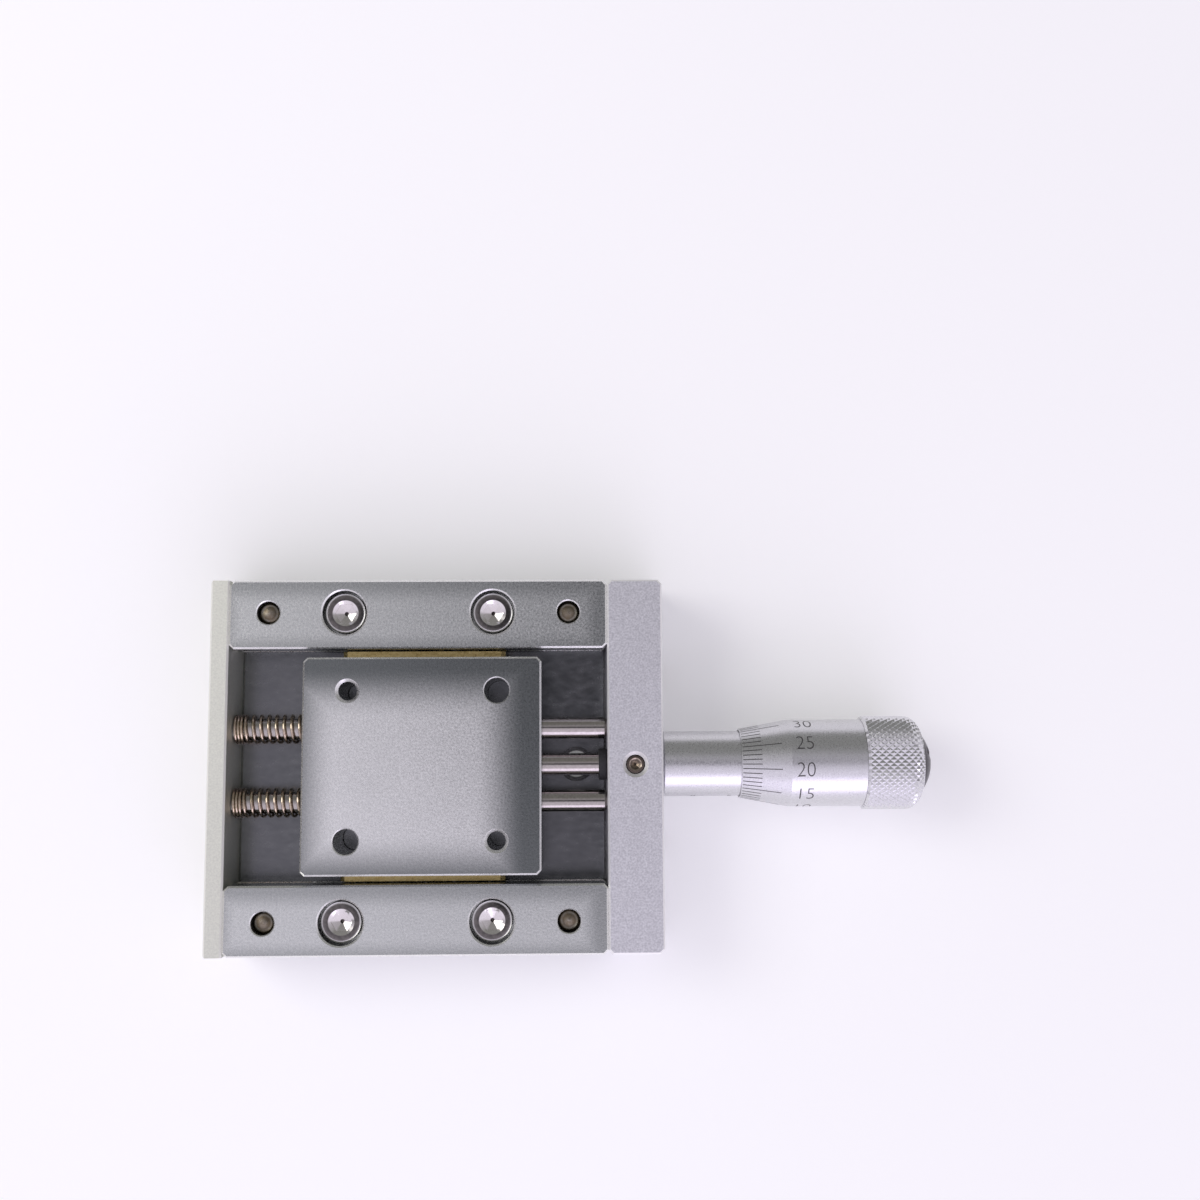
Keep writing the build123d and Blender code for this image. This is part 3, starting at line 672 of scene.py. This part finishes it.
# The index line along the sleeve, with a tick for each half millimetre, above it and below in turn.
sleeveScale = {
    "angle": -115.9, "zeroBeforeEdge": 6.55 * mm, "length": 6.4 * mm, "pitch": 0.5 * mm, "ticks": 27,
    "tick": 0.9 * mm, "longTick": 1.5 * mm, "longEvery": 10, "lineWidth": 0.12 * mm,
    "edgeGap": 0.2 * mm, "digitHeight": 1.3 * mm, "digitBack": 0.3 * mm, "digitGap": 1.0 * mm,
}
bm = bmesh.new()
lineAngle = math.radians(sleeveScale["angle"])
zeroX = thimbleLow.x - sleeveScale["zeroBeforeEdge"]
addMark(bm, zeroX, 0, sleeveScale["length"], sleeveScale["lineWidth"], lineAngle)
for half in range(sleeveScale["ticks"]):
    x = zeroX + half * sleeveScale["pitch"]
    if x > thimbleLow.x - sleeveScale["edgeGap"]:
        break
    long = half % sleeveScale["longEvery"] == 0
    reach = sleeveScale["longTick"] if long else sleeveScale["tick"]
    middle = (reach if half % 2 == 0 else -reach) / 2
    addMark(bm, x - sleeveScale["lineWidth"] / 2, middle, sleeveScale["lineWidth"], reach, lineAngle)
    if long:
        numberAngle = lineAngle + (reach + sleeveScale["digitGap"]) / sleeve["radius"]
        addNumber(bm, str(half // 2), x - sleeveScale["digitBack"], sleeveScale["digitHeight"],
                  numberAngle)
makePiece("sleeve_graduations", bm, "frame_body", inkBlack)


print("screws")


# Lofts rings of (height, radius, hexagonal), and closes both ends. A hexagonal ring's radius is
# half its width over the flats.
def loftScrew(rings, segments=48):
    bm = bmesh.new()
    bmesh.ops.create_circle(bm, cap_ends=False, segments=segments, radius=1.0)
    edges = bm.edges[:]
    first = True
    for height, radius, hexagonal in rings:
        if not first:
            grown = bmesh.ops.extrude_edge_only(bm, edges=edges)["geom"]
            edges = [g for g in grown if isinstance(g, bmesh.types.BMEdge)]
        first = False
        for vert in {v for e in edges for v in e.verts}:
            angle = math.atan2(vert.co.y, vert.co.x)
            reach = radius
            if hexagonal:
                reach = radius / math.cos((angle + full) % (full / 6) - full / 12)
            vert.co = Vector((reach * math.cos(angle), reach * math.sin(angle), height))
    bmesh.ops.holes_fill(bm, edges=[e for e in bm.edges if e.is_boundary], sides=0)
    bmesh.ops.remove_doubles(bm, verts=bm.verts, dist=weld)
    bmesh.ops.recalc_face_normals(bm, faces=bm.faces)
    return bm


# Rings of a plain shank, from its broken end to its full width.
def shankRings(length, screw):
    return [(-length, screw["shank"] - screw["tipBreak"], False),
            (-length + screw["tipBreak"], screw["shank"], False)]


# Rings of a rounded edge, up to a flat top at a height.
def roundRings(height, radius, size, steps=4):
    rings = []
    for i in range(steps + 1):
        angle = i / steps * math.pi / 2
        up, out = size * math.sin(angle), size * math.cos(angle)
        rings.append((height - size + up, radius - size + out, False))
    return rings


def placeCopies(bm, places):
    mesh = bpy.data.meshes.new("screw")
    bm.to_mesh(mesh)
    bm.free()
    group = bmesh.new()
    for place in places:
        copy = mesh.copy()
        copy.transform(place)
        group.from_mesh(copy)
        bpy.data.meshes.remove(copy)
    bpy.data.meshes.remove(mesh)
    return group


# The mouth's slope, the floor's cone and the drill point, as shares of the sizes beside them.
socketShape = {"mouthSlope": 0.55, "floorCone": 0.16, "drillEnd": 0.6, "point": 0.02 * mm}


# Rings of a socket, from its chamfered mouth to the drill point in its floor.
def socketRings(top, screw):
    flats = screw["socket"] / 2
    bottom = top - screw["depth"]
    coned = bottom - screw["socket"] * socketShape["floorCone"]
    drilled = coned - screw["drill"]
    return [
        (top, screw["mouth"], False),
        (top - (screw["mouth"] - flats) * socketShape["mouthSlope"], flats, True),
        (bottom, flats, True), (coned, screw["drill"], False),
        (drilled, screw["drill"] * socketShape["drillEnd"], False),
        (drilled, socketShape["point"], False),
    ]


turnedHeadPaintedLight = turnedFace("turnedHeadPaintedLight", {
    "centre": (10 * mm, 20.6 * mm), "radius": 2.8 * mm, "grain": 0.25 * mm, "roughness": (0.14, 0.24),
    # From the middle out: painted shade at the socket's floor, a painted highlight on its walls, a dark
    # ring on the head's top, and a painted highlight on its rounded edge.
    "rings": [
        (0.0, (0.05, 0.045, 0.04)), (0.22 * mm, (0.08, 0.07, 0.065)), (0.34 * mm, (0.86, 0.82, 0.80)),
        (1.70 * mm, (0.92, 0.89, 0.87)), (1.80 * mm, (0.10, 0.095, 0.09)),
        (2.38 * mm, (0.17, 0.16, 0.155)), (2.52 * mm, (0.95, 0.93, 0.92)),
        (2.80 * mm, (0.80, 0.78, 0.76)),
    ],
    "markPitch": 0.16 * mm, "markDepth": 0.35, "markColour": (0.10, 0.095, 0.09),
    "patch": 0.5 * mm, "patchAmount": 0.12, "patchColour": (0.52, 0.46, 0.44),
})
agedTipPaintedLight = turnedFace("agedTipPaintedLight", {
    "centre": (20.25 * mm, 20.6 * mm), "radius": 1.6 * mm, "grain": 0.3 * mm,
    "roughness": (0.22, 0.38),
    # From the middle out: a painted highlight on the domed tip, fading to painted shade round it down in
    # the hole.
    "rings": [
        (0.0, (0.46, 0.42, 0.36)), (0.35 * mm, (0.34, 0.30, 0.24)), (0.80 * mm, (0.13, 0.11, 0.08)),
        (1.05 * mm, (0.30, 0.28, 0.24)), (1.20 * mm, (0.09, 0.08, 0.06)),
        (1.60 * mm, (0.05, 0.045, 0.04)),
    ],
    "markPitch": 0.3 * mm, "markDepth": 0.3, "markColour": (0.06, 0.05, 0.04),
    "patch": 0.6 * mm, "patchAmount": 0.5, "patchColour": (0.17, 0.13, 0.08),
})
agedSocketPaintedLight = turnedFace("agedSocketPaintedLight", {
    "centre": (29.25 * mm, 0), "radius": 1.3 * mm, "grain": 0.2 * mm, "roughness": (0.20, 0.34),
    # From the middle out: painted shade in the socket, painted highlights on its floor and on the chamfer
    # of its mouth, and painted shade round it.
    "rings": [
        (0.0, (0.10, 0.08, 0.06)), (0.30 * mm, (0.34, 0.27, 0.20)), (0.62 * mm, (0.12, 0.10, 0.08)),
        (0.80 * mm, (0.50, 0.42, 0.34)), (0.95 * mm, (0.16, 0.13, 0.11)),
        (1.25 * mm, (0.10, 0.085, 0.075)),
    ],
    "markPitch": 0.2 * mm, "markDepth": 0.3, "markColour": (0.05, 0.04, 0.03),
    "patch": 0.4 * mm, "patchAmount": 0.3, "patchColour": (0.08, 0.06, 0.05),
})
screwSmooth = 28  # edges sharper than this stay crisp on every screw


# Adds one node's screws, which take its place on the frame.
def makeScrews(name, bm, places, material, node):
    group = placeCopies(bm, places)
    makePiece(name, group, "frame_body", material, [node], screwSmooth)


capScrew = {
    "shank": 1.5 * mm, "head": 2.75 * mm, "headHeight": 3 * mm, "length": 8 * mm, "edge": 0.28 * mm,
    "socket": 2.5 * mm, "mouth": 1.77 * mm, "depth": 0.75 * mm, "drill": 0.26 * mm,
    "tipBreak": 0.3 * mm,
}
low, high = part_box("rail_screws")
bm = loftScrew(shankRings(capScrew["length"], capScrew)
               + [(0, capScrew["shank"], False), (0, capScrew["head"], False)]
               + roundRings(capScrew["headHeight"], capScrew["head"], capScrew["edge"])
               + socketRings(capScrew["headHeight"], capScrew))
seat = high.z - capScrew["headHeight"]
screwX = (high.x - low.x) / 2 - capScrew["head"]
screwY = high.y - capScrew["head"]
places = [Matrix.Translation((i * screwX, j * screwY, seat)) for i in (-1, 1) for j in (-1, 1)]
makeScrews("rail_cap_screws", bm, places, turnedHeadPaintedLight, "rail_screws")

# The tip is domed: heights and radii from its middle to its full width.
flatScrew = {
    "shank": 1.5 * mm, "head": 2.8 * mm, "socket": 2.0 * mm, "mouth": 1.25 * mm, "depth": 1.0 * mm,
    "drill": 0.2 * mm,
    "tip": [(0, 0.02 * mm), (0.05 * mm, 0.55 * mm), (0.22 * mm, 1.2 * mm), (0.55 * mm, 1.5 * mm)],
}
low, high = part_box("base_screws")
length = high.z - low.z
bm = loftScrew([(height - length, radius, False) for height, radius in flatScrew["tip"]]
               + [(flatScrew["shank"] - flatScrew["head"], flatScrew["shank"], False),
                  (0, flatScrew["head"], False)]
               + socketRings(0, flatScrew))
screwX = high.x - flatScrew["head"]
screwY = high.y - flatScrew["head"]
flip = Matrix.Rotation(math.pi, 4, "X")
places = [Matrix.Translation((i * screwX, j * screwY, low.z)) @ flip for i in (-1, 1) for j in (-1, 1)]
makeScrews("base_flat_screws", bm, places, agedTipPaintedLight, "base_screws")

smallFlat = {
    "shank": 1.0 * mm, "head": 1.9 * mm, "tipBreak": 0.2 * mm, "socket": 1.3 * mm, "mouth": 0.85 * mm,
    "depth": 0.8 * mm, "drill": 0.15 * mm, "segments": 36, "innerY": 12 * mm,
}
low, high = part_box("end_plate_screws")
bm = loftScrew(shankRings(high.x - low.x, smallFlat)
               + [(smallFlat["shank"] - smallFlat["head"], smallFlat["shank"], False),
                  (0, smallFlat["head"], False)]
               + socketRings(0, smallFlat), smallFlat["segments"])
lowerZ, upperZ = low.z + smallFlat["head"], high.z - smallFlat["head"]
outerY = high.y - smallFlat["head"]
endPlaces = [(i * y, z) for y, z in ((smallFlat["innerY"], lowerZ), (outerY, upperZ)) for i in (-1, 1)]
face = Matrix.Rotation(-math.pi / 2, 4, "Y")
places = [Matrix.Translation((low.x, y, z)) @ face for y, z in endPlaces]
makeScrews("end_flat_screws", bm, places, screwSteel, "end_plate_screws")

smallCap = {**smallFlat, "headHeight": 2.0 * mm, "edge": 0.15 * mm, "socket": 1.5 * mm, "mouth": 1.0 * mm}
low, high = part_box("block_screws")
bm = loftScrew(shankRings(high.x - low.x, smallCap)
               + [(-smallCap["headHeight"], smallCap["shank"], False),
                  (-smallCap["headHeight"], smallCap["head"], False)]
               + roundRings(0, smallCap["head"], smallCap["edge"])
               + socketRings(0, smallCap), smallCap["segments"])
places = [Matrix.Translation((high.x, y, z)) @ face.inverted() for y, z in endPlaces]
makeScrews("block_cap_screws", bm, places, screwSteel, "block_screws")

low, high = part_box("clamp_screw")
clampScrew = {
    "shank": (high.x - low.x) / 2, "tipBreak": 0.3 * mm, "socket": 1.3 * mm, "mouth": 0.86 * mm,
    "depth": 0.9 * mm, "drill": 0.12 * mm, "edge": 0.15 * mm, "segments": 36, "turn": 18,
}
bm = loftScrew(shankRings(high.z - low.z, clampScrew)
               + roundRings(0, clampScrew["shank"], clampScrew["edge"], steps=3)
               + socketRings(0, clampScrew), clampScrew["segments"])
turn = Matrix.Rotation(math.radians(clampScrew["turn"]), 4, "Z")
places = [Matrix.Translation(((low.x + high.x) / 2, 0, high.z)) @ turn]
makeScrews("clamp_set_screw", bm, places, agedSocketPaintedLight, "clamp_screw")


print("floor, lights and camera")
studio = {
    "floorSize": 6.0, "floorColour": (0.96, 0.96, 0.955), "floorRoughness": 0.8, "floorGlow": 0.16,
    "brightSide": (0.93, 0.88, 1.02), "dimSide": (0.26, 0.26, 0.255), "dimFrom": -0.40, "dimTo": 0.60,
    "overhead": (0.05, 0.05, 0.055), "overheadAim": (0.06, 0.05, 1.0),
    "overheadEdge": 12.0, "overheadCore": 2.0,
}
bm = bmesh.new()
bmesh.ops.create_grid(bm, x_segments=1, y_segments=1, size=studio["floorSize"] / 2)
mesh = bpy.data.meshes.new("floor")
bm.to_mesh(mesh)
bm.free()
floor = bpy.data.objects.new("floor", mesh)
bpy.context.scene.collection.objects.link(floor)
floorMaterial, tree, shader = newMaterial("floorPaper")
shader.inputs["Base Color"].default_value = (*studio["floorColour"], 1)
shader.inputs["Roughness"].default_value = studio["floorRoughness"]
rays = addNode(tree, "ShaderNodeLightPath")
seen = rays.outputs["Is Camera Ray"]
for ray in ("Is Glossy Ray", "Is Transmission Ray"):
    either = addNode(tree, "ShaderNodeMath", operation="MAXIMUM")
    tree.links.new(seen, either.inputs[0])
    tree.links.new(rays.outputs[ray], either.inputs[1])
    seen = either.outputs[0]
shader.inputs["Emission Color"].default_value = (1, 1, 1, 1)
glow = remap(tree, seen, 0, 1, 0, studio["floorGlow"])
tree.links.new(glow, shader.inputs["Emission Strength"])
mesh.materials.append(floorMaterial)

# A pale sky, bright on the near side and dim on the far one, with a dark patch overhead where
# the camera and the hands that hold it keep the light off polished work.
world = bpy.data.worlds.new("studio")
world.use_nodes = True
tree = world.node_tree
background = tree.nodes["Background"]
background.inputs["Strength"].default_value = 1.0
coords = addNode(tree, "ShaderNodeTexCoord")
along = addNode(tree, "ShaderNodeVectorMath", operation="DOT_PRODUCT")
along.inputs[1].default_value = Vector(studio["overheadAim"]).normalized()
tree.links.new(coords.outputs["Generated"], along.inputs[0])
edge, core = (math.cos(math.radians(studio[key])) for key in ("overheadEdge", "overheadCore"))
patch = remap(tree, along.outputs["Value"], edge, core, 0, 1, "SMOOTHSTEP")
across = addNode(tree, "ShaderNodeSeparateXYZ")
tree.links.new(coords.outputs["Generated"], across.inputs[0])
sideways = remap(tree, across.outputs["Y"], studio["dimFrom"], studio["dimTo"], 0, 1)
sky = mixColour(tree, sideways, studio["brightSide"], studio["dimSide"])
sky = mixColour(tree, patch, sky, studio["overhead"])
tree.links.new(sky, background.inputs["Color"])
bpy.context.scene.world = world

lamps = {
    "key": {"place": (-0.40, 0.16, 0.42), "aim": (-0.01, 0, 0.01), "size": 0.30, "power": 0.85,
            "colour": (1.0, 0.99, 0.96)},
    "fill": {"place": (0.16, -0.48, 0.26), "aim": (0.03, 0, 0.01), "size": 0.36, "power": 0.50,
             "colour": (0.84, 0.76, 1.0)},
}
for name, lamp in lamps.items():
    data = bpy.data.lights.new(name, "AREA")
    data.size, data.energy, data.color = lamp["size"], lamp["power"], lamp["colour"]
    holder = bpy.data.objects.new(name, data)
    holder.location = lamp["place"]
    aim = Vector(lamp["aim"]) - Vector(lamp["place"])
    holder.rotation_euler = aim.to_track_quat("-Z", "Y").to_euler()
    bpy.context.scene.collection.objects.link(holder)

# The camera looks down from 0.2 m, leaning 6 degrees. Its focal length is in pixels.
view = {
    "place": (0.020117, 0.002365, 0.198153), "turn": (0.107, -0.024, -0.003), "focal": 1366.8,
    "pixels": 1200, "sensor": 36.0, "nearest": 0.01,
}
cameraData = bpy.data.cameras.new("camera")
cameraData.sensor_width = view["sensor"]
cameraData.lens = view["focal"] / view["pixels"] * view["sensor"]
cameraData.clip_start = view["nearest"]
camera = bpy.data.objects.new("camera", cameraData)
camera.location = view["place"]
camera.rotation_mode = "ZYX"
camera.rotation_euler = view["turn"]
bpy.context.scene.collection.objects.link(camera)
bpy.context.scene.camera = camera
bpy.context.scene.view_settings.view_transform = "Standard"
